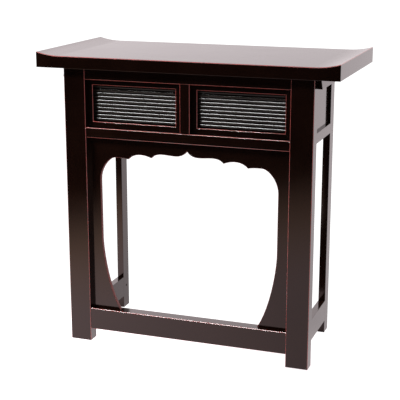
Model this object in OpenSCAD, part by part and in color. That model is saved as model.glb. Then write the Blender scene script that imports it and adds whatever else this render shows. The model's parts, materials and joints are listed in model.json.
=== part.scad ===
// Folding incense table: a front frame with two folding side frames and a lift-off top.
// The front faces -Y. The origin lies on the floor under the middle of the top board.

/* [Table] */
// Height of the legs, which is also the height of the underside of the top
table_h = 707; // [560:1:800]
// Width of the top board
top_w = 757; // [640:1:900]
// Depth of the top board, front to back
top_d = 376; // [330:1:420]
// Thickness of the top board between its upturned ends
top_t = 29.6; // [20:0.1:40]
// How far each end of the top board rises
top_rise = 8.8; // [3:0.1:14]
// Length over which an end rises
top_rise_l = 60; // [50:0.5:120]
// Overhang of the top past the front legs on each side
side_over = 63; // [45:0.5:90]
// Overhang of the top past the front legs at the front
front_over = 20.5; // [5:0.5:35]
// Depth of the standing table, from the front legs' front to the rear legs' back
frame_d = 293; // [250:1:310]

/* [Front frame] */
// Width of a front leg
leg_w = 56; // [48:0.5:75]
// Depth of a front leg
leg_d = 32.5; // [31:0.5:42]
// Chamfer along the arrises of the front frame
arris = 1.2; // [0.4:0.1:1.8]
// How far the rails and the centre stile lie behind the front of the legs
rail_set = 2; // [0.5:0.1:4]
// Height of the upper rail
upper_rail_h = 28; // [20:0.5:40]
// Height of the middle rail
middle_rail_h = 25; // [18:0.5:40]
// Height of the bottom rail
bottom_rail_h = 56; // [30:0.5:80]
// Height of the bottom rail above the floor
bottom_rail_z = 32.5; // [15:0.5:60]
// Height of the two panel bays
bay_h = 118.5; // [90:0.5:160]
// Width of the stile between the two bays
stile_w = 25; // [18:0.5:40]
// Length of the rails' tenons in the legs
tenon_l = 20; // [10:0.5:28]
// Thickness of the rails' tenons
tenon_t = 10; // [6:0.5:12]
// Length of the centre stile's tenons in the rails
stub_l = 8; // [4:0.5:10]
// Shoulder beside the centre stile's tenons
stub_shoulder = 2; // [1:0.5:5]
// Shoulder above and below each tenon
shoulder = 5.5; // [5:0.1:7]

/* [Reeded panels] */
// Width of the upright strips of a panel frame
strip_w = 15; // [8:0.5:24]
// Height of the level strips of a panel frame
strip_h = 14; // [8:0.5:20]
// How far the panel frames lie behind the front of the legs
panel_set = 14; // [8:0.5:16]
// Number of reeds in a panel
reed_count = 10; // [6:1:14]
// Gap between two reeds
reed_gap = 1; // [0.5:0.1:2]
// Thickness of the backing board
backing_t = 3; // [2:0.5:6]

/* [Cusped opening] */
// How far the cusped boards lie behind the front of the legs
board_set = 17; // [12:0.5:18]
// Thickness of the cusped boards
board_t = 9; // [6:0.5:12]
// Depth of the grooves that hold the boards
groove = 4; // [2:0.1:4.8]
// Visible height of the apron at its inner lobes
apron_h = 35.4; // [26:0.5:60]
// Rise of the point in the middle of the apron
peak_h = 14.5; // [6:0.5:20]
// Drop of the inner cusps below the inner lobes
inner_drop = 9; // [4:0.5:14]
// Drop of the outer cusps below the inner lobes
outer_drop = 16; // [10:0.5:24]
// Visible width of a wing board where it is narrowest
wing_w = 30; // [20:0.5:44]
// Visible width of a wing board at its foot
foot_w = 77.5; // [50:0.5:110]
// Where the middle point ends, as a share of half the opening
peak_at = 0.13; // [0.08:0.01:0.2]
// Where the inner cusp lies, as a share of half the opening
inner_at = 0.406; // [0.34:0.002:0.46]
// Where the outer cusp lies, as a share of half the opening
outer_at = 0.672; // [0.6:0.002:0.72]
// Where the corner of the opening begins, as a share of half the opening
corner_at = 0.828; // [0.78:0.002:0.88]
// Rise of the opening's rounded corners above the outer cusps
corner_rise = 2.2; // [0.5:0.1:6]
// Height of the opening's rounded corners
corner_h = 58; // [30:1:90]
// Height over which a wing board sweeps inward to its foot
sweep_h = 202; // [140:1:260]

/* [Side frames] */
// Thickness of a side frame
side_t = 18; // [14:0.5:24]
// How far a side frame lies inside the outer face of its front leg
side_set = 19; // [12:0.5:22]
// Width of a rear leg
rear_leg_w = 36; // [30:0.5:46]
// Width of the front stile
front_stile_w = 30; // [29:0.5:44]
// Length of the side rails' tenons
side_tenon_l = 25; // [12:0.5:26]
// Thickness of the side rails' tenons
side_tenon_t = 6; // [4:0.5:8]
// Thickness of the infill panel
infill_t = 5; // [3:0.5:8]
// Radius of the peg through the stretcher's rear joint
peg_r = 3; // [2:0.1:4]
// Length of the peg
peg_l = 13; // [10:0.5:13.5]
// Gap between the front stile and its front leg
fold_gap = 0.3; // [0.1:0.05:1]
// Gap between a side frame and the top
top_gap = 0.3; // [0.1:0.05:1]

/* [Hinges] */
// Height of a hinge
hinge_h = 50; // [36:1:70]
// Radius of the hinge knuckles
knuckle_r = 3; // [2.6:0.1:3.4]
// Thickness of a hinge leaf
leaf_t = 1.6; // [1.2:0.1:1.8]
// Width of a hinge leaf from the pin's axis
leaf_w = 14; // [12:0.5:15]
// Radius of the hinge pin
pin_r = 1.5; // [1:0.1:1.8]
// Radius of the cap at each end of a hinge pin
cap_r = 2.3; // [2:0.1:2.9]
// Thickness of the cap at each end of a hinge pin
cap_h = 1.2; // [0.6:0.1:2]
// Gap between a knuckle and its neighbours
knuckle_gap = 0.3; // [0.2:0.05:0.6]
// Height of the lower hinge's middle above the bottom rail
lower_hinge_up = 90; // [45:1:150]
// Radius of a hinge screw's shank
hinge_screw_r = 1.3; // [1:0.1:1.5]
// Radius of a hinge screw's head
hinge_screw_head_r = 2.6; // [2.2:0.1:3]
// Length of a hinge screw
hinge_screw_l = 12; // [8:0.5:13]
// Distance of a hinge screw from the middle of its hinge, as a share of the hinge's height
hinge_screw_at = 0.3; // [0.25:0.01:0.38]

/* [Top fixings] */
// Height of the battens under the top
batten_h = 26; // [16:0.5:34]
// Width of a batten where it meets the top
batten_top_w = 8.6; // [7.2:0.1:12]
// Width of a batten at its lower edge
batten_foot_w = 12.2; // [12:0.1:20]
// Length of a batten
batten_l = 262; // [180:1:290]
// Distance of a batten behind the front of the legs
batten_start = 24; // [5:0.5:30]
// Gap between a batten and its front leg
batten_gap = 0.5; // [0.2:0.1:2]
// Number of screws in a batten
batten_screw_count = 3; // [2:1:5]
// Distance of the outer screws from the ends of a batten
batten_screw_in = 30; // [15:1:60]
// Length of a batten screw
batten_screw_l = 40; // [36:0.5:44]
// Radius of a batten screw's shank
batten_screw_r = 1.7; // [1.4:0.1:2]
// Radius of a batten screw's head
batten_screw_head_r = 3.2; // [2.6:0.1:3.4]
// Radius of the dowels in the tops of the front legs
dowel_r = 4; // [3:0.1:5]
// Where a dowel stands on its leg, as a share of the leg's width from its inner face
dowel_at = 0.62; // [0.55:0.01:0.75]
// How far a dowel stands above its leg
dowel_up = 10; // [6:0.5:14]
// How far a dowel goes down into its leg
dowel_down = 14; // [10:0.5:30]

/* [Hidden] */
// Radial clearance of pins, dowels and screws in their holes
fit = 0.05;
// Depth past the tip of a dowel that stays free in its hole
tip_gap = 1;
// Overshoot of a cutting body past the face that it opens
over = 1;
// Room left round the knuckles in the leaf that they turn past, beyond the knuckles' own gap
knuckle_room_extra = 0.1;
// Segments along each curve of the cusped opening
curve_n = 10;

lacquer = "#241410";
reed_colour = "#2e211c";
brass = "#a8843c";
steel = "#8d8d90";

// Places across the table, for its right half
half_w = top_w / 2 - side_over;
leg_in = half_w - leg_w;
side_out = half_w - side_set;
side_in = side_out - side_t;
batten_in = half_w + batten_gap;
stile_half = stile_w / 2;

// Places from front to back
front_y = -top_d / 2 + front_over;
back_y = front_y + leg_d;
rail_y = front_y + rail_set;
rail_d = leg_d - rail_set;
panel_y = front_y + panel_set;
backing_y = back_y - backing_t;
board_y = front_y + board_set;
side_y = back_y + fold_gap;
rear_y = front_y + frame_d;
rear_leg_y = rear_y - rear_leg_w;
bay_y = side_y + front_stile_w;

// Heights
bottom_top_z = bottom_rail_z + bottom_rail_h;
upper_z = table_h - upper_rail_h;
middle_top_z = upper_z - bay_h;
middle_z = middle_top_z - middle_rail_h;
side_top_z = table_h - top_gap;
side_upper_z = side_top_z - upper_rail_h;

// The window of a panel frame and its reeds
window_x0 = stile_half + strip_w;
window_x1 = leg_in - strip_w;
window_z0 = middle_top_z + strip_h;
window_z1 = upper_z - strip_h;
reed_pitch = (window_z1 - window_z0) / reed_count;
reed_r = (reed_pitch - reed_gap) / 2;

// The outline of the cusped opening, for its right half
open_half = leg_in - wing_w;
lobe_z = middle_z - apron_h;
peak = [0, lobe_z + peak_h];
peak_end = [peak_at * open_half, lobe_z];
inner_cusp = [inner_at * open_half, lobe_z - inner_drop];
outer_cusp = [outer_at * open_half, lobe_z - outer_drop];
corner = [corner_at * open_half, outer_cusp[1] + corner_rise];
corner_end = [open_half, corner[1] - corner_h];
sweep_end = [open_half, bottom_top_z + sweep_h];
foot = [leg_in - foot_w, bottom_top_z];

// The hinge axis and what lies round it
axis_off = knuckle_r + knuckle_gap;
axis_x = side_in - axis_off;
axis_y = back_y + axis_off;
knuckle_count = 5;
knuckle_h = hinge_h / knuckle_count;
knuckle_clear = knuckle_r + knuckle_gap + knuckle_room_extra;
screw_out = (leaf_w + knuckle_clear) / 2;
hinge_screw_up = hinge_h * hinge_screw_at;
upper_hinge_z = middle_top_z + bay_h / 2;
lower_hinge_z = bottom_top_z + lower_hinge_up;
hinge_zs = [upper_hinge_z, lower_hinge_z];

// The dowels and the batten screws
dowel_x = leg_in + leg_w * dowel_at;
dowel_y = front_y + leg_d / 2;
batten_y = front_y + batten_start;
batten_screw_x = batten_in + batten_top_w / 2;
batten_screw_step = (batten_l - 2 * batten_screw_in) / (batten_screw_count - 1);

// A point on a cubic curve with the four control points p, at t from 0 to 1
function on_curve(p, t) = pow(1 - t, 3) * p[0] + 3 * t * pow(1 - t, 2) * p[1]
    + 3 * t * t * (1 - t) * p[2] + pow(t, 3) * p[3];

// The points of a cubic curve, without its last
function curve(p) = [for (i = [0 : curve_n - 1]) on_curve(p, i / curve_n)];

// The lower edge of the apron, from its middle point out to the outer cusp
function apron_edge() = let (
        inner_w = inner_cusp[0] - peak_end[0],
        outer_w = outer_cusp[0] - inner_cusp[0])
    concat(
        curve([peak, peak + [0.2 * peak_end[0], -0.62 * peak_h],
            peak_end - [0.47 * peak_end[0], 0], peak_end]),
        curve([peak_end, peak_end + [0.4 * inner_w, 0],
            inner_cusp + [-0.24 * inner_w, 1.9 * inner_drop], inner_cusp]),
        curve([inner_cusp, inner_cusp + [0.16 * outer_w, 0.5 * inner_drop],
            outer_cusp + [-0.32 * outer_w, 1.32 * outer_drop], outer_cusp]),
        [outer_cusp]);

// The inner edge of the right wing board, from its foot up to the outer cusp
function wing_edge() = let (
        sweep_w = foot[0] - sweep_end[0],
        corner_w = corner_end[0] - corner[0],
        lobe_w = corner[0] - outer_cusp[0])
    concat(
        curve([foot, foot + [-0.6 * sweep_w, 0.23 * sweep_h],
            sweep_end - [0, 0.31 * sweep_h], sweep_end]),
        curve([corner_end, corner_end + [0, 0.51 * corner_h],
            corner + [0.4 * corner_w, -0.02 * corner_h], corner]),
        curve([corner, corner + [-0.33 * lobe_w, 0.2 * corner_rise],
            outer_cusp + [0.33 * lobe_w, 1.1 * corner_rise], outer_cusp]),
        [outer_cusp]);

function flipped(points) = [for (i = [len(points) - 1 : -1 : 0]) [-points[i][0], points[i][1]]];

// A prism of an outline drawn in X and Z, from y to y + depth
module upright(y, depth, points) {
    translate([0, y + depth, 0])
        rotate([90, 0, 0])
            linear_extrude(depth)
                polygon(points);
}

// A prism of an outline drawn in Y and Z, from x to x + length
module along_x(x, length, points) {
    translate([x, 0, 0])
        rotate([90, 0, 90])
            linear_extrude(length)
                polygon(points);
}

module box(x, y, z, size_x, size_y, size_z) {
    translate([x, y, z])
        cube([size_x, size_y, size_z]);
}

// A round bar along Z
module bar(x, y, z, r, length) {
    translate([x, y, z])
        cylinder(r = r, h = length, $fn = 48);
}

// A countersunk screw with its head's face at the origin, going down along -Z.
// extra widens it to its hole, whose cone goes on past the face that it opens.
module screw(shank_r, head_r, length, extra = 0) {
    head_h = head_r - shank_r;
    past = extra > 0 ? over : 0;
    translate([0, 0, -head_h])
        cylinder(r1 = shank_r + extra, r2 = head_r + extra + past, h = head_h + past, $fn = 32);
    translate([0, 0, -length - extra])
        cylinder(r = shank_r + extra, h = length + extra - head_h / 2, $fn = 32);
}

// The front frame

// The tenon of a rail that spans the legs, at one height, going past both legs' inner faces
module rail_tenons(z, height) {
    box(-leg_in - tenon_l, rail_y + (rail_d - tenon_t) / 2, z + shoulder,
        2 * (leg_in + tenon_l), tenon_t, height - 2 * shoulder);
}

module all_rail_tenons() {
    rail_tenons(upper_z, upper_rail_h);
    rail_tenons(middle_z, middle_rail_h);
    rail_tenons(bottom_rail_z, bottom_rail_h);
}

module stile_tenons() {
    box(-stile_half + stub_shoulder, rail_y + (rail_d - tenon_t) / 2, middle_top_z - stub_l,
        stile_w - 2 * stub_shoulder, tenon_t, bay_h + 2 * stub_l);
}

// A rail with its lower front edge chamfered, and its upper one too unless it meets the top
module rail(z, height, arris_on_top = true) {
    top = z + height;
    along_x(-leg_in, 2 * leg_in, concat(
        [[rail_y, z + arris], [rail_y + arris, z], [back_y, z], [back_y, top]],
        arris_on_top ? [[rail_y + arris, top], [rail_y, top - arris]] : [[rail_y, top]]));
    rail_tenons(z, height);
}

module apron_solid() {
    top = middle_z + groove;
    upright(board_y, board_t, concat(
        [[-outer_cusp[0], top], [-outer_cusp[0], outer_cusp[1]]],
        flipped(apron_edge()), apron_edge(),
        [[outer_cusp[0], top]]));
}

module wing_solid() {
    top = middle_z + groove;
    out = leg_in + groove;
    low = bottom_top_z - groove;
    upright(board_y, board_t, concat(
        [[outer_cusp[0], top], [out, top], [out, low], [foot[0], low]],
        wing_edge()));
}

module both_wings() {
    wing_solid();
    mirror([1, 0, 0]) wing_solid();
}

module right_front_leg() {
    color(lacquer)
    difference() {
        linear_extrude(table_h)
            polygon([[leg_in, back_y], [half_w, back_y], [half_w, front_y + arris],
                [half_w - arris, front_y], [leg_in + arris, front_y], [leg_in, front_y + arris]]);
        all_rail_tenons();
        wing_solid();
        bar(dowel_x, dowel_y, table_h - dowel_down, dowel_r + fit, dowel_down + over);
        leg_hinge_screw_set(fit);
    }
}

module left_front_leg() {
    mirror([1, 0, 0]) right_front_leg();
}

module upper_rail() {
    color(lacquer)
    difference() {
        rail(upper_z, upper_rail_h, arris_on_top = false);
        stile_tenons();
    }
}

module middle_rail() {
    color(lacquer)
    difference() {
        rail(middle_z, middle_rail_h);
        stile_tenons();
        apron_solid();
        both_wings();
    }
}

module bottom_rail() {
    color(lacquer)
    difference() {
        rail(bottom_rail_z, bottom_rail_h);
        both_wings();
    }
}

module centre_stile() {
    color(lacquer)
    union() {
        translate([0, 0, middle_top_z])
            linear_extrude(bay_h)
                polygon([[-stile_half, back_y], [stile_half, back_y],
                    [stile_half, rail_y + arris], [stile_half - arris, rail_y],
                    [-stile_half + arris, rail_y], [-stile_half, rail_y + arris]]);
        stile_tenons();
    }
}

module cusped_apron() {
    color(lacquer) apron_solid();
}

module right_wing_board() {
    color(lacquer) wing_solid();
}

module left_wing_board() {
    color(lacquer) mirror([1, 0, 0]) wing_solid();
}

// The reeded panels

// A mitred strip along X whose outer edge lies on z = 0 and whose front lies on y = 0.
// mitre is how far its ends slope in towards the window.
module strip(length, width, mitre) {
    depth = backing_y - panel_y;
    intersection() {
        along_x(0, length, [[0, 0], [depth, 0], [depth, width], [arris, width], [0, width - arris]]);
        upright(0, depth, [[0, 0], [length, 0], [length - mitre, width], [mitre, width]]);
    }
}

module level_strip() {
    strip(leg_in - stile_half, strip_h, strip_w);
}

module upright_strip() {
    strip(bay_h, strip_w, strip_h);
}

module right_panel_bottom_strip() {
    color(lacquer)
    translate([stile_half, panel_y, middle_top_z])
        level_strip();
}

module right_panel_top_strip() {
    color(lacquer)
    translate([stile_half, panel_y, upper_z])
        mirror([0, 0, 1])
            level_strip();
}

module right_panel_inner_strip() {
    color(lacquer)
    translate([stile_half, panel_y, upper_z])
        rotate([0, 90, 0])
            upright_strip();
}

module right_panel_outer_strip() {
    color(lacquer)
    translate([leg_in, panel_y, middle_top_z])
        rotate([0, -90, 0])
            upright_strip();
}

module left_panel_bottom_strip() {
    mirror([1, 0, 0]) right_panel_bottom_strip();
}

module left_panel_top_strip() {
    mirror([1, 0, 0]) right_panel_top_strip();
}

module left_panel_inner_strip() {
    mirror([1, 0, 0]) right_panel_inner_strip();
}

module left_panel_outer_strip() {
    mirror([1, 0, 0]) right_panel_outer_strip();
}

module right_reeds() {
    color(reed_colour)
    for (i = [0 : reed_count - 1])
        translate([window_x0, backing_y, window_z0 + (i + 0.5) * reed_pitch])
            difference() {
                rotate([0, 90, 0])
                    cylinder(r = reed_r, h = window_x1 - window_x0, $fn = 48);
                box(-over, 0, -reed_r - over, window_x1 - window_x0 + 2 * over,
                    reed_r + over, 2 * (reed_r + over));
            }
}

module left_reeds() {
    mirror([1, 0, 0]) right_reeds();
}

module right_backing_board() {
    color(lacquer)
        box(stile_half, backing_y, middle_top_z, leg_in - stile_half, backing_t, bay_h);
}

module left_backing_board() {
    mirror([1, 0, 0]) right_backing_board();
}

// The hinges

// A tube round the hinge axis over the knuckles whose number is first, first + 2 and so on
module knuckles(z, first) {
    for (i = [first : 2 : knuckle_count - 1])
        bar(axis_x, axis_y, z - hinge_h / 2 + i * knuckle_h + (i == 0 ? 0 : knuckle_gap / 2),
            knuckle_r, knuckle_h - (i == 0 || i == knuckle_count - 1 ? 0.5 : 1) * knuckle_gap);
}

// Room for the other leaf's knuckles
module knuckle_room(z, first) {
    for (i = [first : 2 : knuckle_count - 1])
        box(axis_x - knuckle_clear, axis_y - knuckle_clear,
            z - hinge_h / 2 + i * knuckle_h - (i == 0 ? over : knuckle_gap / 2),
            2 * knuckle_clear, 2 * knuckle_clear,
            knuckle_h + (i == 0 || i == knuckle_count - 1 ? knuckle_gap / 2 + over : knuckle_gap));
}

module pin_hole(z) {
    bar(axis_x, axis_y, z - hinge_h / 2 - over, pin_r + fit, hinge_h + 2 * over);
}

// Screws from behind into the right front leg
module leg_hinge_screw_set(extra = 0) {
    for (z = hinge_zs, up = [-hinge_screw_up, hinge_screw_up])
        translate([axis_x - screw_out, back_y + leaf_t, z + up])
            rotate([-90, 0, 0])
                screw(hinge_screw_r, hinge_screw_head_r, hinge_screw_l, extra);
}

// Screws from inside into the right front stile
module frame_hinge_screw_set(extra = 0) {
    for (z = hinge_zs, up = [-hinge_screw_up, hinge_screw_up])
        translate([side_in - leaf_t, axis_y + screw_out, z + up])
            rotate([0, -90, 0])
                screw(hinge_screw_r, hinge_screw_head_r, hinge_screw_l, extra);
}

module fixed_leaf(z) {
    color(brass)
    difference() {
        union() {
            box(axis_x - leaf_w, back_y, z - hinge_h / 2, leaf_w, leaf_t, hinge_h);
            knuckles(z, 0);
        }
        difference() {
            knuckle_room(z, 1);
            knuckles(z, 0);
        }
        pin_hole(z);
        leg_hinge_screw_set(fit);
    }
}

module moving_leaf(z) {
    color(brass)
    difference() {
        union() {
            box(side_in - leaf_t, axis_y, z - hinge_h / 2, leaf_t, leaf_w, hinge_h);
            knuckles(z, 1);
        }
        difference() {
            knuckle_room(z, 0);
            knuckles(z, 1);
        }
        pin_hole(z);
        frame_hinge_screw_set(fit);
    }
}

module hinge_pin(z) {
    color(steel)
    union() {
        bar(axis_x, axis_y, z - hinge_h / 2 - cap_h, pin_r, hinge_h + 2 * cap_h);
        bar(axis_x, axis_y, z - hinge_h / 2 - cap_h, cap_r, cap_h);
        bar(axis_x, axis_y, z + hinge_h / 2, cap_r, cap_h);
    }
}

module right_upper_hinge_fixed_leaf() {
    fixed_leaf(upper_hinge_z);
}

module right_lower_hinge_fixed_leaf() {
    fixed_leaf(lower_hinge_z);
}

module right_upper_hinge_moving_leaf() {
    moving_leaf(upper_hinge_z);
}

module right_lower_hinge_moving_leaf() {
    moving_leaf(lower_hinge_z);
}

module right_upper_hinge_pin() {
    hinge_pin(upper_hinge_z);
}

module right_lower_hinge_pin() {
    hinge_pin(lower_hinge_z);
}

module right_leg_hinge_screws() {
    color(brass) leg_hinge_screw_set();
}

module right_frame_hinge_screws() {
    color(brass) frame_hinge_screw_set();
}

module left_upper_hinge_fixed_leaf() {
    mirror([1, 0, 0]) right_upper_hinge_fixed_leaf();
}

module left_lower_hinge_fixed_leaf() {
    mirror([1, 0, 0]) right_lower_hinge_fixed_leaf();
}

module left_upper_hinge_moving_leaf() {
    mirror([1, 0, 0]) right_upper_hinge_moving_leaf();
}

module left_lower_hinge_moving_leaf() {
    mirror([1, 0, 0]) right_lower_hinge_moving_leaf();
}

module left_upper_hinge_pin() {
    mirror([1, 0, 0]) right_upper_hinge_pin();
}

module left_lower_hinge_pin() {
    mirror([1, 0, 0]) right_lower_hinge_pin();
}

module left_leg_hinge_screws() {
    mirror([1, 0, 0]) right_leg_hinge_screws();
}

module left_frame_hinge_screws() {
    mirror([1, 0, 0]) right_frame_hinge_screws();
}

// The side frames

module side_tenons(z, height) {
    box(side_in + (side_t - side_tenon_t) / 2, bay_y - side_tenon_l, z + shoulder,
        side_tenon_t, rear_leg_y - bay_y + 2 * side_tenon_l, height - 2 * shoulder);
}

module all_side_tenons() {
    side_tenons(side_upper_z, upper_rail_h);
    side_tenons(middle_z, middle_rail_h);
    side_tenons(bottom_rail_z, bottom_rail_h);
}

module side_rail(z, height) {
    box(side_in, bay_y, z, side_t, rear_leg_y - bay_y, height);
    side_tenons(z, height);
}

module peg(extra = 0) {
    translate([side_in - (extra > 0 ? over : 0), rear_leg_y + rear_leg_w / 2,
            bottom_rail_z + bottom_rail_h / 2])
        rotate([0, 90, 0])
            cylinder(r = peg_r + extra, h = peg_l + (extra > 0 ? over + extra : 0), $fn = 48);
}

module right_front_stile() {
    color(lacquer)
    difference() {
        box(side_in, side_y, bottom_rail_z, side_t, front_stile_w, side_top_z - bottom_rail_z);
        all_side_tenons();
        frame_hinge_screw_set(fit);
    }
}

module right_rear_leg() {
    color(lacquer)
    difference() {
        box(side_in, rear_leg_y, 0, side_t, rear_leg_w, side_top_z);
        all_side_tenons();
        peg(fit);
    }
}

module right_side_top_rail() {
    color(lacquer) side_rail(side_upper_z, upper_rail_h);
}

module right_side_middle_rail() {
    color(lacquer) side_rail(middle_z, middle_rail_h);
}

module right_side_stretcher() {
    color(lacquer)
    difference() {
        side_rail(bottom_rail_z, bottom_rail_h);
        peg(fit);
    }
}

module right_infill_panel() {
    color(lacquer)
        box(side_in + (side_t - infill_t) / 2, bay_y, middle_top_z,
            infill_t, rear_leg_y - bay_y, side_upper_z - middle_top_z);
}

module right_stretcher_peg() {
    color(lacquer) peg();
}

module left_front_stile() {
    mirror([1, 0, 0]) right_front_stile();
}

module left_rear_leg() {
    mirror([1, 0, 0]) right_rear_leg();
}

module left_side_top_rail() {
    mirror([1, 0, 0]) right_side_top_rail();
}

module left_side_middle_rail() {
    mirror([1, 0, 0]) right_side_middle_rail();
}

module left_side_stretcher() {
    mirror([1, 0, 0]) right_side_stretcher();
}

module left_infill_panel() {
    mirror([1, 0, 0]) right_infill_panel();
}

module left_stretcher_peg() {
    mirror([1, 0, 0]) right_stretcher_peg();
}

// The top

module top_dowels() {
    color(reed_colour)
    for (side = [-1, 1])
        bar(side * dowel_x, dowel_y, table_h - dowel_down, dowel_r, dowel_down + dowel_up);
}

module batten_screw_set(extra = 0) {
    for (side = [-1, 1], i = [0 : batten_screw_count - 1])
        translate([side * batten_screw_x, batten_y + batten_screw_in + i * batten_screw_step,
                table_h - batten_h])
            mirror([0, 0, 1])
                screw(batten_screw_r, batten_screw_head_r, batten_screw_l, extra);
}

module top_board() {
    arc_r = (top_rise_l * top_rise_l + top_rise * top_rise) / (2 * top_rise);
    arc_x = top_w / 2 - top_rise_l;
    color(lacquer)
    difference() {
        translate([0, top_d / 2, table_h])
            rotate([90, 0, 0])
                linear_extrude(top_d)
                    difference() {
                        translate([-top_w / 2, 0])
                            square([top_w, top_t + top_rise + over]);
                        translate([-arc_x, top_t])
                            square([2 * arc_x, top_rise + over]);
                        for (side = [-1, 1])
                            translate([side * arc_x, top_t + arc_r])
                                circle(r = arc_r, $fn = 360);
                    }
        for (side = [-1, 1])
            bar(side * dowel_x, dowel_y, table_h - over, dowel_r + fit, dowel_up + tip_gap + over);
        batten_screw_set(fit);
    }
}

module right_batten() {
    color(lacquer)
    difference() {
        upright(batten_y, batten_l, [[batten_in, table_h - batten_h],
            [batten_in + batten_foot_w, table_h - batten_h],
            [batten_in + batten_top_w, table_h], [batten_in, table_h]]);
        batten_screw_set(fit);
    }
}

module left_batten() {
    mirror([1, 0, 0]) right_batten();
}

module batten_screws() {
    color(steel) batten_screw_set();
}

left_front_leg();
right_front_leg();
upper_rail();
middle_rail();
bottom_rail();
centre_stile();
left_panel_top_strip();
left_panel_bottom_strip();
left_panel_outer_strip();
left_panel_inner_strip();
right_panel_top_strip();
right_panel_bottom_strip();
right_panel_outer_strip();
right_panel_inner_strip();
left_reeds();
right_reeds();
left_backing_board();
right_backing_board();
cusped_apron();
left_wing_board();
right_wing_board();
left_upper_hinge_fixed_leaf();
left_lower_hinge_fixed_leaf();
right_upper_hinge_fixed_leaf();
right_lower_hinge_fixed_leaf();
left_upper_hinge_pin();
left_lower_hinge_pin();
right_upper_hinge_pin();
right_lower_hinge_pin();
left_leg_hinge_screws();
right_leg_hinge_screws();
top_dowels();
left_front_stile();
left_rear_leg();
left_side_top_rail();
left_side_middle_rail();
left_side_stretcher();
left_infill_panel();
left_upper_hinge_moving_leaf();
left_lower_hinge_moving_leaf();
left_frame_hinge_screws();
left_stretcher_peg();
right_front_stile();
right_rear_leg();
right_side_top_rail();
right_side_middle_rail();
right_side_stretcher();
right_infill_panel();
right_upper_hinge_moving_leaf();
right_lower_hinge_moving_leaf();
right_frame_hinge_screws();
right_stretcher_peg();
top_board();
left_batten();
right_batten();
batten_screws();
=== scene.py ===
import json
import math

import bmesh
import bpy
from mathutils import Matrix, Vector

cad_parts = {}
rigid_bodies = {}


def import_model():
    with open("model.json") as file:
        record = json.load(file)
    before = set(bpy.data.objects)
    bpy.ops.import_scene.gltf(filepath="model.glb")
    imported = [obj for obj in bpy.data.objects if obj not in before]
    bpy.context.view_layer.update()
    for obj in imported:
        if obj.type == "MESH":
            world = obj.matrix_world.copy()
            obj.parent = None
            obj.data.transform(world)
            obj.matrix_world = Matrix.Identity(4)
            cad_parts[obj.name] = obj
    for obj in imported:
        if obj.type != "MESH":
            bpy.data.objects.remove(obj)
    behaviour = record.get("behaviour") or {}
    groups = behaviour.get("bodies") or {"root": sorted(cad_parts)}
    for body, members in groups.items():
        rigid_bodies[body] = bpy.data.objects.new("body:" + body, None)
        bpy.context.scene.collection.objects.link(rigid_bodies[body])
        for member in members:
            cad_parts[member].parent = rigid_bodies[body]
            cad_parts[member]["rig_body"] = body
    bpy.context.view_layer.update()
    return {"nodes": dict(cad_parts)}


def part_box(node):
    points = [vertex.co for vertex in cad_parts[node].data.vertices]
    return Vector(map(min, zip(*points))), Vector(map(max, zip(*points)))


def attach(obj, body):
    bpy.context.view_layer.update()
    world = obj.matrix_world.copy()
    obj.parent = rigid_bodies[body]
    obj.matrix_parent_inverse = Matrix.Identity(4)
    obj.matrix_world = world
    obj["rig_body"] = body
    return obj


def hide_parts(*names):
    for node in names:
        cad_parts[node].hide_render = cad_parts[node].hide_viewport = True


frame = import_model()

bl_info = {
    "name": "Folding incense table",
    "version": (1, 0, 0),
    "blender": (4, 5, 0),
    "location": "View3D > Sidebar > Incense Table",
    "description": "Dresses the table's packed frame in lacquer, and lays floor, light and camera",
    "category": "Object",
}

MM = 0.001
# Two coordinates closer than this are taken as one
TOUCH = 0.02 * MM
# Vertices of a CAD mesh closer than this are merged
MERGE = 0.005 * MM
# CAD faces that turn less than this from each other are one flat face
FLAT = math.radians(0.1)
# Edges that turn less than this are part of a curve
SHARP = math.radians(25)
# Edges between two faces of one finish that turn less than this are rubbed round
ROUNDED = math.radians(50)
AXES = {"x": 0, "y": 1, "z": 2}
SIDES = ("left", "right")
# The places that the finishes have in a lacquered piece's list
LACQUER_FACE, RED_FACE, RIM_FACE, RIM_CHAMFER_FACE = range(4)
# Most values of a noise lie between these two
NOISE_SPAN = (0.3, 0.7)


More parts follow.
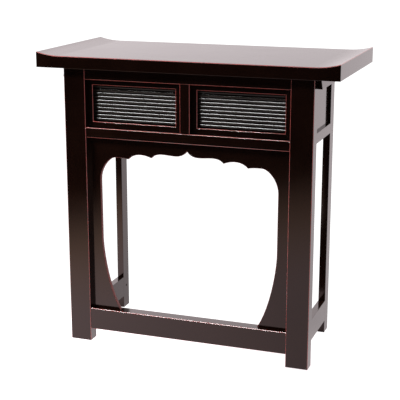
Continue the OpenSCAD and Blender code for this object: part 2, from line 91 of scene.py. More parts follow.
class TableSizes(bpy.types.PropertyGroup):
    """Sizes of the finish that the frame doesn't give."""

    arris: bpy.props.FloatProperty(
        name="Red arris", description="Width of the red chamfers, along each face that they cut",
        default=1.2 * MM, min=0.4 * MM, max=2.0 * MM, unit="LENGTH", precision=4)
    top_arris: bpy.props.FloatProperty(
        name="Top arris",
        description="Width of the red chamfer round the upper face of the top board",
        default=1.5 * MM, min=0.4 * MM, max=3.0 * MM, unit="LENGTH", precision=4)
    soft_edge: bpy.props.FloatProperty(
        name="Soft edge", description="How far the lacquered edges are rubbed round",
        default=0.5 * MM, min=0.1 * MM, max=1.0 * MM, unit="LENGTH", precision=4)
    fine_edge: bpy.props.FloatProperty(
        name="Fine edge",
        description="How far the edges of rails, strips and thin boards are rubbed round",
        default=0.25 * MM, min=0.05 * MM, max=0.5 * MM, unit="LENGTH", precision=4)
    reed_count: bpy.props.IntProperty(
        name="Reeds", description="Number of reeds in a panel", default=10, min=2, max=20)
    tenon_thickness: bpy.props.FloatProperty(
        name="Tenon thickness", description="Thickness of the front rails' tenons",
        default=10 * MM, min=4 * MM, max=14 * MM, unit="LENGTH", precision=4)
    tenon_shoulder: bpy.props.FloatProperty(
        name="Tenon shoulder", description="Shoulder above and below the rails' tenons",
        default=5.5 * MM, min=2 * MM, max=8 * MM, unit="LENGTH", precision=4)
    side_tenon_thickness: bpy.props.FloatProperty(
        name="Side tenon thickness", description="Thickness of the side rails' tenons",
        default=6 * MM, min=3 * MM, max=9 * MM, unit="LENGTH", precision=4)
    stile_shoulder: bpy.props.FloatProperty(
        name="Stile shoulder", description="Shoulder beside the centre stile's tenons",
        default=2 * MM, min=1 * MM, max=5 * MM, unit="LENGTH", precision=4)
    slot_width: bpy.props.FloatProperty(
        name="Screw slot", description="Width of a screw's slot, as a share of its head's radius",
        default=0.3, min=0.1, max=0.6, subtype="FACTOR")
    slot_depth: bpy.props.FloatProperty(
        name="Slot depth", description="Depth of a screw's slot, as a share of its head's radius",
        default=0.35, min=0.1, max=0.45, subtype="FACTOR")


def colour(name, description, default):
    """A colour that the sidebar shows."""
    return bpy.props.FloatVectorProperty(
        name=name, description=description, default=default, size=3, min=0, max=1, subtype="COLOR")


class TableColours(bpy.types.PropertyGroup):
    """Colours of the finishes."""

    lacquer: colour("Lacquer", "Dark brown-black lacquer", (0.003, 0.001, 0.0006))
    lacquer_worn: colour(
        "Lacquer, thin", "Lacquer where its brown ground shows through", (0.006, 0.0022, 0.0013))
    red: colour("Red lacquer", "Red lacquer on the arrises", (0.23, 0.04, 0.034))
    red_worn: colour(
        "Red lacquer, rubbed", "Red lacquer rubbed down to the dark ground", (0.1, 0.03, 0.026))
    red_dull: colour(
        "Red lacquer, dull", "Thin red lacquer on the sawn edges", (0.11, 0.024, 0.021))
    reed: colour("Reed", "Lacquered reeds", (0.003, 0.0022, 0.0018))
    reed_light: colour(
        "Reed, light", "Lacquered reeds where their own colour shows", (0.009, 0.0068, 0.0055))
    peg: colour("Peg", "End grain of the pegs", (0.001, 0.0005, 0.0004))
    peg_light: colour("Peg, light", "Paler rings in the pegs", (0.004, 0.002, 0.0015))
    brass: colour("Brass", "Polished brass of the hinges", (0.58, 0.39, 0.15))
    brass_dull: colour("Brass, dull", "Tarnish on the brass", (0.20, 0.125, 0.05))
    steel: colour("Steel", "Steel of the pins and batten screws", (0.46, 0.46, 0.47))
    steel_dull: colour("Steel, dull", "Tarnish on the steel", (0.19, 0.17, 0.155))
    wood: colour("Bare wood", "Wood of the dowels", (0.50, 0.31, 0.16))
    wood_dark: colour("Bare wood, dark", "Darker rings in the wood", (0.28, 0.15, 0.07))
    # Nearly black: the floor looks pale through its painted glow, not through this colour
    floor: colour("Floor", "Plain pale floor", (0.05, 0.049, 0.048))


class StageSettings(bpy.types.PropertyGroup):
    """Floor, light and camera."""

    floor_reach: bpy.props.FloatProperty(
        name="Floor", description="How far the floor reaches from the table's middle",
        default=2.3, min=0.8, max=6, unit="LENGTH")
    # Painted glow: the floor gives off light though it is no lamp. It is brighter at the left than
    # at the right, standing in for the soft box's light falling off across the floor, and strong
    # enough to wash out the table's shadows
    floor_glow: bpy.props.FloatVectorProperty(
        name="Floor glow",
        description="Light that comes up through the floor, at its left and at its right",
        default=(1.95, 1.075), size=2, min=0, max=4)
    # Painted tint of that glow, warmer towards the front left, which colours what the table's
    # fronts mirror
    floor_tint: colour("Floor tint", "Colour of that light near the table", (1, 0.9, 0.92))
    floor_tint_far: colour(
        "Floor tint, far", "Colour of that light further to the front left", (1, 0.76, 0.58))
    surround: bpy.props.FloatProperty(
        name="Surround", description="Brightness of the white surround behind the table",
        default=1.15, min=0, max=10)
    surround_high: bpy.props.FloatProperty(
        name="Surround, high", description="How many times brighter the surround is higher up",
        default=1.6, min=0, max=10)
    surround_low: bpy.props.FloatProperty(
        name="Surround, low", description="Share of its brightness that the surround has low down",
        default=0.8, min=0, max=1)
    surround_middle: bpy.props.FloatProperty(
        name="Surround, middle",
        description="Share of its brightness that the surround has in the middle",
        default=0.86, min=0.1, max=1)
    surround_front: bpy.props.FloatProperty(
        name="Surround, front", description="Brightness of the dark room in front of the table",
        default=0.02, min=0, max=10)
    surround_tint: colour("Surround tint", "Colour of the surround", (1, 0.91, 0.93))
    background: bpy.props.FloatProperty(
        name="Background", description="Brightness of the plain white that the camera sees",
        default=1.2, min=0, max=10)
    glints: bpy.props.FloatProperty(
        name="Glints", description="Power of the soft box that glints on the reeds and arrises",
        default=280, min=0, max=2000, unit="POWER")
    glints_size: bpy.props.FloatVectorProperty(
        name="Glints size", description="Width and depth of that soft box",
        default=(1.3, 0.5), size=2, min=0.2, max=6, unit="LENGTH")
    glints_place: bpy.props.FloatVectorProperty(
        name="Glints place", description="Middle of that soft box",
        default=(-0.83, -1.51, 2.35), size=3, subtype="TRANSLATION", unit="LENGTH")
    fill: bpy.props.FloatProperty(
        name="Fill", description="Power of the soft box that lights the colours from the left",
        default=125, min=0, max=2000, unit="POWER")
    fill_size: bpy.props.FloatVectorProperty(
        name="Fill size", description="Width and depth of that soft box",
        default=(0.6, 0.6), size=2, min=0.2, max=6, unit="LENGTH")
    fill_place: bpy.props.FloatVectorProperty(
        name="Fill place", description="Middle of that soft box",
        default=(-1.5, -1.3, 1.9), size=3, subtype="TRANSLATION", unit="LENGTH")
    camera_place: bpy.props.FloatVectorProperty(
        name="Camera place", description="Where the camera stands",
        default=(0.8821, -2.5304, 1.0486), size=3, subtype="TRANSLATION", unit="LENGTH")
    camera_turn: bpy.props.FloatProperty(
        name="Camera turn", description="How far the camera stands round to the right of the table",
        default=0.3424, subtype="ANGLE")
    camera_tilt: bpy.props.FloatProperty(
        name="Camera tilt", description="How far the camera looks down",
        default=0.2523, subtype="ANGLE")
    camera_lens: bpy.props.FloatProperty(
        name="Camera lens", description="Focal length on a 36 mm sensor, in millimetres",
        default=96.7, min=20, max=300)


def sizes():
    """The sizes of the finish."""
    return bpy.context.scene.table_sizes


def tint(name):
    """The colour of a finish."""
    return tuple(getattr(bpy.context.scene.table_colours, name))


# Shapes

def block(bm, low, high):
    """Adds a box between two corners."""
    size = Vector(high) - Vector(low)
    place = Matrix.Translation((Vector(high) + Vector(low)) / 2) @ Matrix.Diagonal((*size, 1))
    bmesh.ops.create_cube(bm, size=1, matrix=place)


def on(verts, at):
    """Whether the vertices all lie at the named coordinates, such as y=front and z=top."""
    return all(abs(v.co[AXES[axis]] - c) < TOUCH for v in verts for axis, c in at.items())


def edges_on(bm, **at):
    """The edges that lie at the named coordinates."""
    return [e for e in bm.edges if on(e.verts, at)]


def face_on(bm, **at):
    """The face that lies at the named coordinates."""
    return next(f for f in bm.faces if on(f.verts, at))


def front_arrises(bm, low, high):
    """The two upright edges on the front of a post."""
    return edges_on(bm, x=low.x, y=low.y) + edges_on(bm, x=high.x, y=low.y)


def chamfer(bm, edges, width, finish=RED_FACE):
    """Cuts one flat chamfer along the edges and lacquers it red."""
    cut = bmesh.ops.bevel(bm, geom=edges, offset=width, affect="EDGES", segments=1,
                          profile=0.5, material=-1, clamp_overlap=True)
    for face in cut["faces"]:
        face.material_index = finish


def round_off(bm, edges, radius):
    """Cuts edges round in two steps."""
    bmesh.ops.bevel(bm, geom=edges, offset=radius, affect="EDGES", segments=2,
                    profile=0.5, material=-1)


def soften(bm, radius, keep_sharp=()):
    """Rubs the sharp edges of a piece round, apart from those on a plane in keep_sharp."""
    sharp = [e for e in bm.edges
             if e.is_manifold and e.calc_face_angle() > SHARP
             and not any(on(e.verts, plane) for plane in keep_sharp)]
    cut = bmesh.ops.bevel(bm, geom=sharp, offset=radius, affect="EDGES", segments=2,
                          profile=0.5, material=-1, clamp_overlap=True)
    for face in cut["faces"]:
        face.smooth = True


def add_tenon(bm, face, axis, length, share):
    """Draws a tenon out of an end face along an axis. share says how much of the face it takes
    on the other two."""
    shoulder = bmesh.ops.extrude_discrete_faces(bm, faces=[face])["faces"][0]
    middle = shoulder.calc_center_median()
    for vert in shoulder.verts:
        for other, part in share.items():
            i = AXES[other]
            vert.co[i] = middle[i] + (vert.co[i] - middle[i]) * part
    tip = bmesh.ops.extrude_discrete_faces(bm, faces=[shoulder])["faces"][0]
    for vert in tip.verts:
        vert.co[AXES[axis]] += length


def joined_copy(node):
    """A copy of a CAD node's mesh with its triangles joined and its flat faces made whole."""
    bm = bmesh.new()
    bm.from_mesh(frame["nodes"][node].data)
    for face in bm.faces:
        face.smooth = False
        face.material_index = LACQUER_FACE
    bmesh.ops.remove_doubles(bm, verts=bm.verts, dist=MERGE)
    bmesh.ops.dissolve_limit(bm, angle_limit=FLAT, verts=bm.verts, edges=bm.edges)
    return bm


def solids_of(node):
    """The boxes of the separate solids in a CAD node, from left to right, then front to back."""
    bm = bmesh.new()
    bm.from_mesh(frame["nodes"][node].data)
    bmesh.ops.remove_doubles(bm, verts=bm.verts, dist=MERGE)
    left, boxes = set(bm.verts), []
    while left:
        reached = [left.pop()]
        corners = []
        while reached:
            vert = reached.pop()
            corners.append(vert.co.copy())
            near = {e.other_vert(vert) for e in vert.link_edges} & left
            left -= near
            reached += near
        boxes.append(tuple(Vector(pick(c[i] for c in corners) for i in range(3))
                           for pick in (min, max)))
    bm.free()
    # Rounded to a hundredth of a millimetre, so that solids in a row stay in a row
    return sorted(boxes, key=lambda box: tuple(round(c, 5) for c in box[0]))


def place_piece(bm, name, node, materials):
    """Makes the mesh a piece that stands for a CAD node and rides on its body. Corners, and
    the lines where the finish changes, shade sharp."""
    for edge in bm.edges:
        finishes = {f.material_index for f in edge.link_faces}
        edge.smooth = edge.calc_face_angle(0) < (ROUNDED if len(finishes) == 1 else SHARP)
    mesh = bpy.data.meshes.new(name)
    bm.to_mesh(mesh)
    bm.free()
    for material in materials:
        mesh.materials.append(material)
    piece = bpy.data.objects.new(name, mesh)
    bpy.context.scene.collection.objects.link(piece)
    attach(piece, frame["nodes"][node]["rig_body"])
    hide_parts(node)
    return piece


def lacquered(bm, node):
    """A finished lacquered piece for a CAD node."""
    # The dull red is in twice, so that the edge between a rim and its chamfer stays sharp
    return place_piece(bm, node + "_lacquered", node,
                       [lacquer(), red_lacquer(), red_rim(), red_rim()])


def dress(node, material):
    """Gives a CAD node that keeps its own mesh a material."""
    slots = frame["nodes"][node].data.materials
    if not slots:
        slots.append(material)
    for i in range(len(slots)):
        slots[i] = material


# Finishes

class Finish:
    """A material in the making: its nodes, its shader, and short ways to add and link nodes."""

    def __init__(self, name):
        self.material = bpy.data.materials.new(name)
        self.material.use_nodes = True
        self.nodes = self.material.node_tree.nodes
        self.links = self.material.node_tree.links
        self.shader = self.nodes["Principled BSDF"]
        self.place = self.add("ShaderNodeTexCoord").outputs["Object"]

    def add(self, kind, **sockets):
        """Adds a node, with the values of its inputs."""
        node = self.nodes.new(kind)
        for socket, value in sockets.items():
            self.put(node.inputs[socket.replace("_", " ")], value)
        return node

    def put(self, socket, value):
        """Links an output to an input, or sets a value there. A colour gets its alpha."""
        if isinstance(value, bpy.types.NodeSocket):
            self.links.new(value, socket)
        elif isinstance(value, tuple) and len(socket.default_value) > len(value):
            socket.default_value = (*value, 1)
        else:
            socket.default_value = value

    def stretched(self, scale):
        """Object coordinates, stretched so that a pattern runs along a piece."""
        return self.add("ShaderNodeMapping", Vector=self.place, Scale=scale).outputs["Vector"]

    def noise(self, scale, detail=2.0, rough=0.5, at=None):
        """A noise from 0 to 1, with scale patches to the metre."""
        return self.add("ShaderNodeTexNoise", Vector=at or self.place, Scale=scale, Detail=detail,
                        Roughness=rough).outputs["Fac"]

    def ranged(self, value, low, high, to_low, to_high):
        """value, from low to high, made to run from to_low to to_high."""
        return self.add("ShaderNodeMapRange", Value=value, From_Min=low, From_Max=high,
                        To_Min=to_low, To_Max=to_high).outputs["Result"]

    def blend(self, share, first, second):
        """The first, with the second mixed in by its share."""
        mix = self.nodes.new("ShaderNodeMix")
        mix.data_type = "RGBA"
        # The sockets of a Mix node that take and give colours
        first_in, second_in, out = mix.inputs[6], mix.inputs[7], mix.outputs[2]
        self.put(mix.inputs["Factor"], share)
        self.put(first_in, first)
        self.put(second_in, second)
        return out

    def bump(self, height, distance, strength=1.0, under=None):
        """A surface that the height raises by up to distance, over what is under it."""
        node = self.add("ShaderNodeBump", Height=height, Distance=distance, Strength=strength)
        if under:
            self.put(node.inputs["Normal"], under)
        return node.outputs["Normal"]

    def shade(self, **sockets):
        """Sets the shader's inputs, and hands over the finished material."""
        for socket, value in sockets.items():
            self.put(self.shader.inputs[socket.replace("_", " ")], value)
        return self.material


def made_once(build):
    """Keeps one material for each finish, whichever operator asks for it first."""
    name = build.__name__ + "_finish"

    def find():
        return bpy.data.materials.get(name) or build(name)

    find.__doc__ = build.__doc__
    return find


def lacquer_ground(finish):
    """What the lacquers share: fine rubbed specks, and a faintly rippled surface."""
    specks = finish.noise(240, detail=3, rough=0.7)
    ripple = finish.noise(26, detail=1)
    peel = finish.noise(420, detail=2)
    waved = finish.bump(ripple, 0.1 * MM, 0.3)
    return specks, finish.bump(peel, 0.01 * MM, 0.3, under=waved)


@made_once
def lacquer(name):
    """Dark brown-black lacquer, with clouds where it is thin and a little duller."""
    finish = Finish(name)
    specks, surface = lacquer_ground(finish)
    cloud = finish.noise(7, detail=4, rough=0.6)
    thin = finish.ranged(finish.blend(0.35, cloud, specks), 0.38, 0.68, 0, 1)
    return finish.shade(
        Base_Color=finish.blend(thin, tint("lacquer"), tint("lacquer_worn")),
        Roughness=finish.ranged(cloud, *NOISE_SPAN, 0.07, 0.14),
        IOR=1.45,
        Specular_Tint=(1, 0.8, 0.78),
        Normal=surface)


@made_once
def red_lacquer(name):
    """Red lacquer, rubbed through in places to the dark ground."""
    finish = Finish(name)
    specks, surface = lacquer_ground(finish)
    rubbed = finish.ranged(finish.noise(55, detail=4, rough=0.65), 0.5, 0.72, 0, 1)
    return finish.shade(
        Base_Color=finish.blend(rubbed, tint("red"), tint("red_worn")),
        Roughness=finish.ranged(specks, *NOISE_SPAN, 0.14, 0.22),
        IOR=1.6,
        Normal=surface)


@made_once
def red_rim(name):
    """Dull red lacquer on the sawn edges of the cusped boards."""
    finish = Finish(name)
    specks, surface = lacquer_ground(finish)
    rubbed = finish.ranged(finish.noise(70, detail=4, rough=0.65), 0.45, 0.7, 0, 1)
    return finish.shade(
        Base_Color=finish.blend(rubbed, tint("red_dull"), tint("red_worn")),
        Roughness=finish.ranged(specks, *NOISE_SPAN, 0.5, 0.65),
        Specular_IOR_Level=0.25,
        Normal=surface)


@made_once
def reed_lacquer(name):
    """Reeds under a thin coat of lacquer, with fine fibres along them."""
    finish = Finish(name)
    along = finish.stretched((6, 900, 900))
    fibre = finish.noise(1, detail=3, rough=0.6, at=along)
    cloud = finish.noise(9, detail=3, rough=0.6)
    light = finish.ranged(finish.blend(0.5, fibre, cloud), 0.42, 0.62, 0, 1)
    return finish.shade(
        Base_Color=finish.blend(light, tint("reed"), tint("reed_light")),
        Roughness=finish.ranged(fibre, *NOISE_SPAN, 0.14, 0.22),
        IOR=1.32,
        Normal=finish.bump(fibre, 0.01 * MM, 0.3))


@made_once
def peg_end(name):
    """Unpolished dark end grain of the pegs."""
    finish = Finish(name)
    grain = finish.noise(900, detail=3, rough=0.7)
    return finish.shade(
        Base_Color=finish.blend(grain, tint("peg"), tint("peg_light")),
        Roughness=finish.ranged(grain, *NOISE_SPAN, 0.85, 1.0),
        Specular_IOR_Level=0.0,
        Normal=finish.bump(grain, 0.1 * MM, 0.6))


def worn_metal(finish, bright, dull):
    """Metal with brushed lines and tarnish that gathers in clouds."""
    tarnish = finish.ranged(finish.noise(160, detail=5, rough=0.65), 0.42, 0.66, 0, 1)
    brushed = finish.noise(1, detail=2, at=finish.stretched((400, 400, 3000)))
    return finish.shade(
        Base_Color=finish.blend(tarnish, bright, dull),
        Metallic=1.0,
        Roughness=finish.ranged(finish.blend(0.5, tarnish, brushed), 0, 1, 0.24, 0.55),
        Normal=finish.bump(brushed, 0.01 * MM, 0.5))


@made_once
def brass(name):
    """Brass of the hinges and their screws."""
    return worn_metal(Finish(name), tint("brass"), tint("brass_dull"))


@made_once
def steel(name):
    """Steel of the hinge pins and the batten screws."""
    return worn_metal(Finish(name), tint("steel"), tint("steel_dull"))


@made_once
def bare_wood(name):
    """Bare wood of the dowels, with its grain upright."""
    finish = Finish(name)
    grain = finish.noise(1, detail=4, rough=0.6, at=finish.stretched((1400, 1400, 60)))
    return finish.shade(
        Base_Color=finish.blend(finish.ranged(grain, 0.35, 0.65, 0, 1),
                                tint("wood"), tint("wood_dark")),
        Roughness=finish.ranged(grain, *NOISE_SPAN, 0.55, 0.75),
        Normal=finish.bump(grain, 0.05 * MM, 0.7))


# The pieces

class FrontLegs(bpy.types.Operator):
    """Make the two front legs, with a red chamfer along both front arrises"""

    bl_idname = "incense_table.front_legs"
    bl_label = "Front legs"

    def execute(self, context):
        for side in SIDES:
            node = side + "_front_leg"
            low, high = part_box(node)
            bm = bmesh.new()
            block(bm, low, high)
            chamfer(bm, front_arrises(bm, low, high), sizes().arris)
            soften(bm, sizes().soft_edge)
            lacquered(bm, node)
        return {"FINISHED"}


class FrontRails(bpy.types.Operator):
    """Make the three rails and the centre stile, with red chamfers and their tenons"""

    bl_idname = "incense_table.front_rails"
    bl_label = "Front rails and stile"

    def rail(self, node, arris_on_top):
        """A rail between the legs, red along its lower arris and, if asked, its upper one."""
        leg_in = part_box("right_front_leg")[0].x
        low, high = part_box(node)
        tenon = high.x - leg_in
        low.x, high.x = -leg_in, leg_in
        share = {"y": sizes().tenon_thickness / (high.y - low.y),
                 "z": 1 - 2 * sizes().tenon_shoulder / (high.z - low.z)}
        bm = bmesh.new()
        block(bm, low, high)
        for end in (-1, 1):
            add_tenon(bm, face_on(bm, x=end * leg_in), "x", end * tenon, share)
        arrises = edges_on(bm, y=low.y, z=low.z)
        if arris_on_top:
            arrises += edges_on(bm, y=low.y, z=high.z)
        chamfer(bm, arrises, sizes().arris)
        soften(bm, sizes().fine_edge, keep_sharp=({"x": -leg_in}, {"x": leg_in}))
        lacquered(bm, node)

    def stile(self):
        """The stile between the upper and the middle rail."""
        low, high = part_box("centre_stile")
        bottom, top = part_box("middle_rail")[1].z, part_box("upper_rail")[0].z
        tenon = high.z - top
        low.z, high.z = bottom, top
        share = {"x": 1 - 2 * sizes().stile_shoulder / (high.x - low.x),
                 "y": sizes().tenon_thickness / (high.y - low.y)}
        bm = bmesh.new()
        block(bm, low, high)
        add_tenon(bm, face_on(bm, z=bottom), "z", -tenon, share)
        add_tenon(bm, face_on(bm, z=top), "z", tenon, share)
        chamfer(bm, front_arrises(bm, low, high), sizes().arris)
        soften(bm, sizes().fine_edge, keep_sharp=({"z": bottom}, {"z": top}))
        lacquered(bm, "centre_stile")

    def execute(self, context):
        self.rail("upper_rail", arris_on_top=False)
        self.rail("middle_rail", arris_on_top=True)
        self.rail("bottom_rail", arris_on_top=True)
        self.stile()
        return {"FINISHED"}


class PanelFrames(bpy.types.Operator):
    """Make the mitred strips of both panel frames, red at the window, and lacquer their boards"""

    bl_idname = "incense_table.panel_frames"
    bl_label = "Panel frames"

    def strip(self, node, across, along, mitre, window_centre):
        """A strip of a panel frame. across is the axis from it to the window, and along the axis
        of its length."""
        low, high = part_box(node)
        a, b = AXES[across], AXES[along]
        window = high[a] if window_centre[a] > high[a] else low[a]
        middle = (low[b] + high[b]) / 2
        bm = bmesh.new()
        block(bm, low, high)
        for vert in bm.verts:
            if abs(vert.co[a] - window) < TOUCH:
                vert.co[b] += mitre if vert.co[b] < middle else -mitre
        chamfer(bm, edges_on(bm, **{across: window, "y": low.y}), sizes().arris)
        soften(bm, sizes().fine_edge)
        lacquered(bm, node)

    def execute(self, context):
        for side in SIDES:
            low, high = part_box(side + "_reeds")
            window_centre = (low + high) / 2
            part = side + "_panel_"
            level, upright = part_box(part + "top_strip"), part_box(part + "outer_strip")
            strip_h, strip_w = level[1].z - level[0].z, upright[1].x - upright[0].x
            for name in ("top_strip", "bottom_strip"):
                self.strip(part + name, "z", "x", strip_w, window_centre)
            for name in ("inner_strip", "outer_strip"):
                self.strip(part + name, "x", "z", strip_h, window_centre)
            dress(side + "_backing_board", lacquer())
        return {"FINISHED"}


class Reeds(bpy.types.Operator):
    """Lay the half-round reeds in both panels"""

    bl_idname = "incense_table.reeds"
    bl_label = "Reeds"

    segments = 40
    # Faces that lean further than this towards an end or the back are flat
    flat_from = 0.5

    def execute(self, context):
        for side in SIDES:
            node = side + "_reeds"
            low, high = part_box(node)
            radius = high.y - low.y
            pitch = (high.z - low.z - 2 * radius) / (sizes().reed_count - 1)
            bm = bmesh.new()
            for i in range(sizes().reed_count):
                middle = Vector(((low.x + high.x) / 2, high.y, low.z + radius + i * pitch))
                level = Matrix.Translation(middle) @ Matrix.Rotation(math.pi / 2, 4, "Y")
                bmesh.ops.create_cone(bm, cap_ends=True, segments=self.segments, radius1=radius,
                                      radius2=radius, depth=high.x - low.x, matrix=level)
            everything = list(bm.verts) + list(bm.edges) + list(bm.faces)
            bmesh.ops.bisect_plane(bm, geom=everything, plane_co=(0, high.y, 0),
                                   plane_no=(0, 1, 0), dist=TOUCH, clear_outer=True)
            # The cut leaves a four-sided hole along the back of each reed
            bmesh.ops.holes_fill(bm, edges=[e for e in bm.edges if e.is_boundary], sides=4)
            bmesh.ops.recalc_face_normals(bm, faces=bm.faces)
            for face in bm.faces:
                face.smooth = (abs(face.normal.x) < self.flat_from
                               and face.normal.y < self.flat_from)
            place_piece(bm, node + "_half_round", node, [reed_lacquer()])
        return {"FINISHED"}


class CuspedBoards(bpy.types.Operator):
    """Make the cusped apron and the wing boards, dull red all round the opening"""

    bl_idname = "incense_table.cusped_boards"
    bl_label = "Cusped boards"

    def board(self, node):
        """A board with its rim and the rim's front chamfer in red, and its back edge rounded."""
        low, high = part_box(node)
        bm = joined_copy(node)
        outside = [{axis: corner[i]} for axis, i in AXES.items() for corner in (low, high)]
        rim = [f for f in bm.faces if not any(on(f.verts, plane) for plane in outside)]
        for face in rim:
            face.material_index = RIM_FACE
            face.smooth = True
        front = {e for f in rim for e in f.edges if on(e.verts, {"y": low.y})}
        back = {e for f in rim for e in f.edges if on(e.verts, {"y": high.y})}
        chamfer(bm, list(front), sizes().arris, RIM_CHAMFER_FACE)
        round_off(bm, [e for e in back if e.is_valid], sizes().fine_edge)
        lacquered(bm, node)

    def execute(self, context):
        self.board("cusped_apron")
        for side in SIDES:
            self.board(side + "_wing_board")
        return {"FINISHED"}


class SideFrames(bpy.types.Operator):
    """Make the posts, rails and stretchers of both side frames, and lacquer their panels"""

    bl_idname = "incense_table.side_frames"
    bl_label = "Side frames"

    def post(self, node):
        """A front stile or a rear leg."""
        low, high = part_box(node)
        bm = bmesh.new()
        block(bm, low, high)
        soften(bm, sizes().soft_edge)
        lacquered(bm, node)

    def rail(self, side, node):
        """A rail from the front stile to the rear leg, with its tenons."""
        low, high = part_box(node)
        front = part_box(side + "_front_stile")[1].y
        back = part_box(side + "_rear_leg")[0].y
        reach = high.y - back
        low.y, high.y = front, back
        share = {"x": sizes().side_tenon_thickness / (high.x - low.x),
                 "z": 1 - 2 * sizes().tenon_shoulder / (high.z - low.z)}
        bm = bmesh.new()
        block(bm, low, high)
        add_tenon(bm, face_on(bm, y=front), "y", -reach, share)
        add_tenon(bm, face_on(bm, y=back), "y", reach, share)
        soften(bm, sizes().soft_edge, keep_sharp=({"y": front}, {"y": back}))
        lacquered(bm, node)

    def execute(self, context):
        for side in SIDES:
            for name in ("_front_stile", "_rear_leg"):
                self.post(side + name)
            for name in ("_side_top_rail", "_side_middle_rail", "_side_stretcher"):
                self.rail(side, side + name)
            dress(side + "_infill_panel", lacquer())
        return {"FINISHED"}


class TopBoard(bpy.types.Operator):
    """Make the top board with its upturned ends, red along the arrises of its upper face"""

    bl_idname = "incense_table.top_board"
    bl_label = "Top board"

    # How far up the normals of its upper faces point, and that of the flat one in the middle
    upward = 0.9
    level = 0.99999

    def execute(self, context):
        node = "top_board"
        low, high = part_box(node)
        bm = joined_copy(node)
        ends, sides = [{"x": low.x}, {"x": high.x}], [{"y": low.y}, {"y": high.y}]
        around = ends + sides
        upper = [f for f in bm.faces if f.normal.z > self.upward]
        for face in upper:
            face.smooth = face.normal.z < self.level
        rim = {e for f in upper for e in f.edges if any(on(e.verts, plane) for plane in around)}
        chamfer(bm, list(rim), sizes().top_arris)
        corners = [e for e in bm.edges
                   if any(on(e.verts, {"z": low.z, **plane}) for plane in around)
                   or any(on(e.verts, {**end, **side}) for end in ends for side in sides)]
        round_off(bm, corners, sizes().soft_edge)
        # The rounding leaves some vertices a hair outside the ends
        for vert in bm.verts:
            vert.co.x = min(max(vert.co.x, low.x), high.x)
        lacquered(bm, node)
        return {"FINISHED"}


class Battens(bpy.types.Operator):
    """Make the two battens under the top"""

    bl_idname = "incense_table.battens"
    bl_label = "Battens"

    def execute(self, context):
        for side in SIDES:
            node = side + "_batten"
            low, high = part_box(node)
            bm = joined_copy(node)
            # Shorter edges belong to the screw holes
            shortest = (high.x - low.x) / 3
            outline = [e for e in bm.edges
                       if e.calc_length() > shortest and e.is_manifold
                       and e.calc_face_angle() > SHARP and not on(e.verts, {"z": high.z})]
            round_off(bm, outline, sizes().soft_edge)
            lacquered(bm, node)
        return {"FINISHED"}


class Hinges(bpy.types.Operator):
    """Give the hinge leaves their brass and the pins their steel"""

    bl_idname = "incense_table.hinges"
    bl_label = "Hinges"

    def execute(self, context):
        for side in SIDES:
            for level in ("_upper", "_lower"):
                dress(side + level + "_hinge_fixed_leaf", brass())
                dress(side + level + "_hinge_moving_leaf", brass())
                dress(side + level + "_hinge_pin", steel())
        return {"FINISHED"}


class Screws(bpy.types.Operator):
    """Make the slotted screws of the hinges and the battens"""

    bl_idname = "incense_table.screws"
    bl_label = "Screws"

    segments = 24
    # Share of the head's radius that the shank has, and share of the shank's that its tip has
    shank_share = 0.5
    tip_share = 0.5
    # Vertices of a spun screw closer than this are merged
    merge = 0.001 * MM
    # Vertices closer than this to a side of the slot are taken to lie on it
    slot_touch = 0.0001 * MM

    def screw(self, bm, box, head_to):
        """Adds a screw that fills a box, with its head at the end that head_to points to."""
        low, high = box
        axis = max(range(3), key=lambda i: abs(head_to[i]))
        size = high - low
        length, radius = size[axis], max(s for i, s in enumerate(size) if i != axis) / 2
        turn = Vector((0, 0, 1)).rotation_difference(head_to).to_matrix().to_4x4()
        tip = (low + high) / 2 - head_to * length / 2
        shank = radius * self.shank_share
        earlier = set(bm.faces)

        def made():
            return [f for f in bm.faces if f not in earlier]

        def top_of_head():
            return [f for f in made() if on(f.verts, {"z": length})]

        # Half of its section, from the tip up the shank and out to the edge of the head
        start = [bm.verts.new(p) for p in (
            (0, 0, 0), (shank * self.tip_share, 0, 0), (shank, 0, shank),
            (shank, 0, length - (radius - shank)), (radius, 0, length), (0, 0, length))]
        edges = [bm.edges.new(pair) for pair in zip(start, start[1:])]
        bmesh.ops.spin(bm, geom=start + edges, cent=(0, 0, 0), axis=(0, 0, 1), angle=2 * math.pi,
                       steps=self.segments, use_merge=True)
        bmesh.ops.remove_doubles(bm, verts=list({v for f in made() for v in f.verts}),
                                 dist=self.merge)
        bmesh.ops.recalc_face_normals(bm, faces=made())
        half = radius * sizes().slot_width / 2
        for side in (-1, 1):
            top = top_of_head()
            geom = (top + list({e for f in top for e in f.edges})
                    + list({v for f in top for v in f.verts}))
            bmesh.ops.bisect_plane(bm, geom=geom, plane_co=(0, side * half, 0),
                                   plane_no=(0, 1, 0), dist=self.slot_touch)
        slot = [f for f in top_of_head() if abs(f.calc_center_median().y) < half]
        sunk = bmesh.ops.extrude_face_region(bm, geom=slot)["geom"]
        bmesh.ops.delete(bm, geom=slot, context="FACES_ONLY")
        for vert in sunk:
            if isinstance(vert, bmesh.types.BMVert):
                vert.co.z -= radius * sizes().slot_depth
        bmesh.ops.transform(bm, matrix=Matrix.Translation(tip) @ turn,
                            verts=list({v for f in made() for v in f.verts}))

    def execute(self, context):
        sets = [("left_leg_hinge_screws", (0, 1, 0), brass, "brass"),
                ("right_leg_hinge_screws", (0, 1, 0), brass, "brass"),
                ("left_frame_hinge_screws", (1, 0, 0), brass, "brass"),
                ("right_frame_hinge_screws", (-1, 0, 0), brass, "brass"),
                ("batten_screws", (0, 0, -1), steel, "steel")]
        for node, head_to, material, slot in sets:
            bm = bmesh.new()
            for box in solids_of(node):
                self.screw(bm, box, Vector(head_to))
            place_piece(bm, node + "_slotted", node, [material()])
        return {"FINISHED"}


